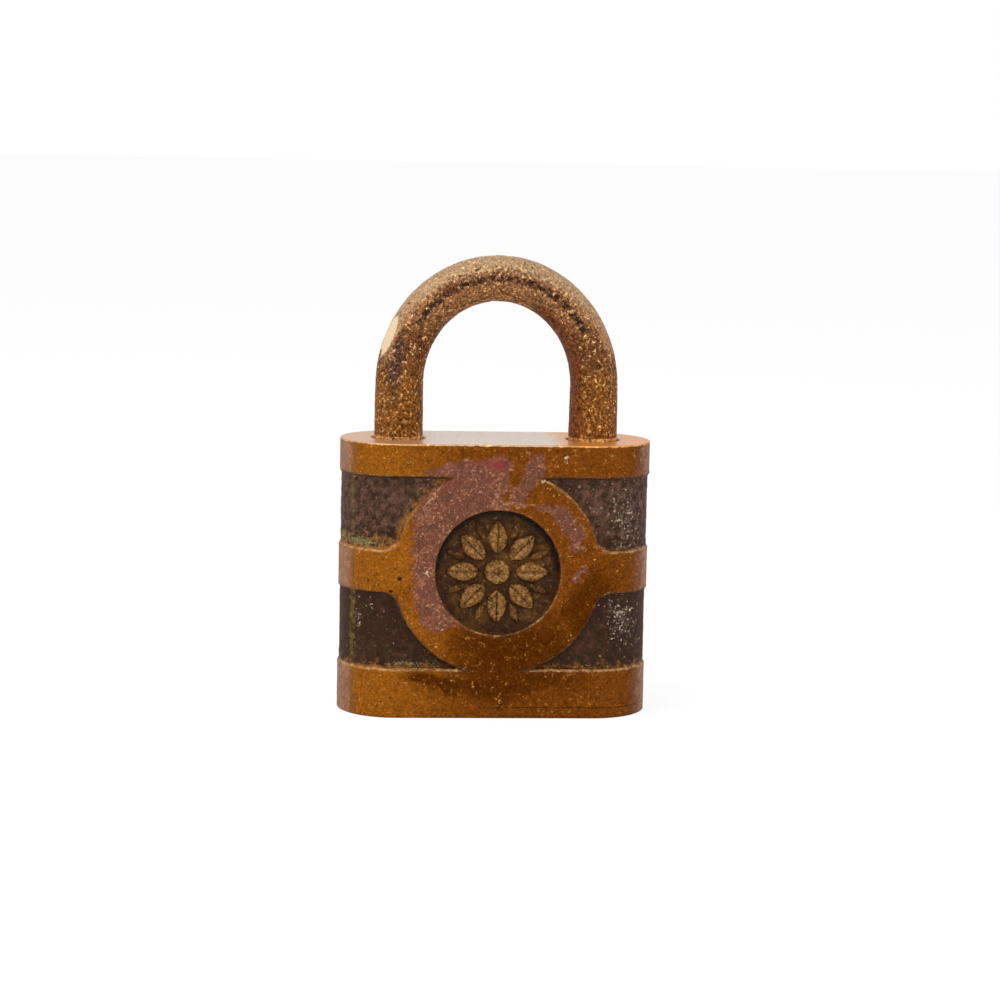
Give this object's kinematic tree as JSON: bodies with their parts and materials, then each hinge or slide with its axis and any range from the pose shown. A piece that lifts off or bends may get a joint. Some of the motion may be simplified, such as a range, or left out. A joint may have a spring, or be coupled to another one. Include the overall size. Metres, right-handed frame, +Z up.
{
  "type": "padlock",
  "caption": "Round-ended brass padlock with a bronze shackle, a keyway in its base and a pin-tumbler cylinder, worn and rusty.",
  "frame": {"origin": "middle of the base that it stands on", "axes": "+Z up towards the shackle's bow, -Y out of the front face, heel leg at -X and toe leg at +X"},
  "size_m": [0.051, 0.019, 0.075],
  "materials": {
    "case_brass": "worn and tarnished",
    "shackle_bronze": "pitted, dark patina",
    "cylinder_brass": "turned, dull",
    "spring_steel": "drawn wire, dull"
  },
  "bodies": {
    "case": {"case": "case_brass", "bottom_plate": "case_brass", "cylinder_shell": "cylinder_brass", "spring_cover": "cylinder_brass", "cylinder_pin": "shackle_bronze", "heel_pin": "spring_steel", "plate_rivet_1": "case_brass", "plate_rivet_2": "case_brass", "plate_rivet_3": "case_brass", "plate_rivet_4": "case_brass", "bolt_spring": "spring_steel", "pin_spring_1": "spring_steel", "pin_spring_2": "spring_steel", "pin_spring_3": "spring_steel", "pin_spring_4": "spring_steel", "pin_spring_5": "spring_steel"},
    "shackle": {"shackle": "shackle_bronze"},
    "plug": {"plug": "cylinder_brass", "cam": "shackle_bronze", "cam_screw": "spring_steel"},
    "bolt": {"bolt": "cylinder_brass"},
    "key_pin_1": {"key_pin_1": "cylinder_brass"},
    "key_pin_2": {"key_pin_2": "cylinder_brass"},
    "key_pin_3": {"key_pin_3": "cylinder_brass"},
    "key_pin_4": {"key_pin_4": "cylinder_brass"},
    "key_pin_5": {"key_pin_5": "cylinder_brass"},
    "driver_pin_1": {"driver_pin_1": "cylinder_brass"},
    "driver_pin_2": {"driver_pin_2": "cylinder_brass"},
    "driver_pin_3": {"driver_pin_3": "cylinder_brass"},
    "driver_pin_4": {"driver_pin_4": "cylinder_brass"},
    "driver_pin_5": {"driver_pin_5": "cylinder_brass"}
  },
  "joints": [
    {"name": "shackle_lift", "type": "slide", "parent": "case", "child": "shackle", "axis": [0, 0, 1], "range_m": [0, 0.0142]},
    {"name": "plug_turn", "type": "hinge", "parent": "case", "child": "plug", "pos_m": [0, 0, 0.0145], "axis": [0, 0, 1], "range_deg": [-90, 0]},
    {"name": "bolt_slide", "type": "slide", "parent": "case", "child": "bolt", "axis": [1, 0, 0], "range_m": [0, 0.002], "deforming": ["bolt_spring"]},
    {"name": "key_pin_1_slide", "type": "slide", "parent": "plug", "child": "key_pin_1", "axis": [0, 1, 0], "range_m": [-0.0012, 0]},
    {"name": "key_pin_2_slide", "type": "slide", "parent": "plug", "child": "key_pin_2", "axis": [0, 1, 0], "range_m": [-0.0012, 0]},
    {"name": "key_pin_3_slide", "type": "slide", "parent": "plug", "child": "key_pin_3", "axis": [0, 1, 0], "range_m": [-0.0012, 0]},
    {"name": "key_pin_4_slide", "type": "slide", "parent": "plug", "child": "key_pin_4", "axis": [0, 1, 0], "range_m": [-0.0012, 0]},
    {"name": "key_pin_5_slide", "type": "slide", "parent": "plug", "child": "key_pin_5", "axis": [0, 1, 0], "range_m": [-0.0012, 0]},
    {"name": "driver_pin_1_slide", "type": "slide", "parent": "case", "child": "driver_pin_1", "axis": [1, 0, 0], "range_m": [0, 0.001], "stiffness_N_per_m": 150, "deforming": ["pin_spring_1"]},
    {"name": "driver_pin_2_slide", "type": "slide", "parent": "case", "child": "driver_pin_2", "axis": [1, 0, 0], "range_m": [0, 0.001], "stiffness_N_per_m": 150, "deforming": ["pin_spring_2"]},
    {"name": "driver_pin_3_slide", "type": "slide", "parent": "case", "child": "driver_pin_3", "axis": [1, 0, 0], "range_m": [0, 0.001], "stiffness_N_per_m": 150, "deforming": ["pin_spring_3"]},
    {"name": "driver_pin_4_slide", "type": "slide", "parent": "case", "child": "driver_pin_4", "axis": [1, 0, 0], "range_m": [0, 0.001], "stiffness_N_per_m": 150, "deforming": ["pin_spring_4"]},
    {"name": "driver_pin_5_slide", "type": "slide", "parent": "case", "child": "driver_pin_5", "axis": [1, 0, 0], "range_m": [0, 0.001], "stiffness_N_per_m": 150, "deforming": ["pin_spring_5"]}
  ],
  "couplings": [
    {"joint": "bolt_slide", "follows": "plug_turn", "m_per_rad": -0.0012732}
  ]
}
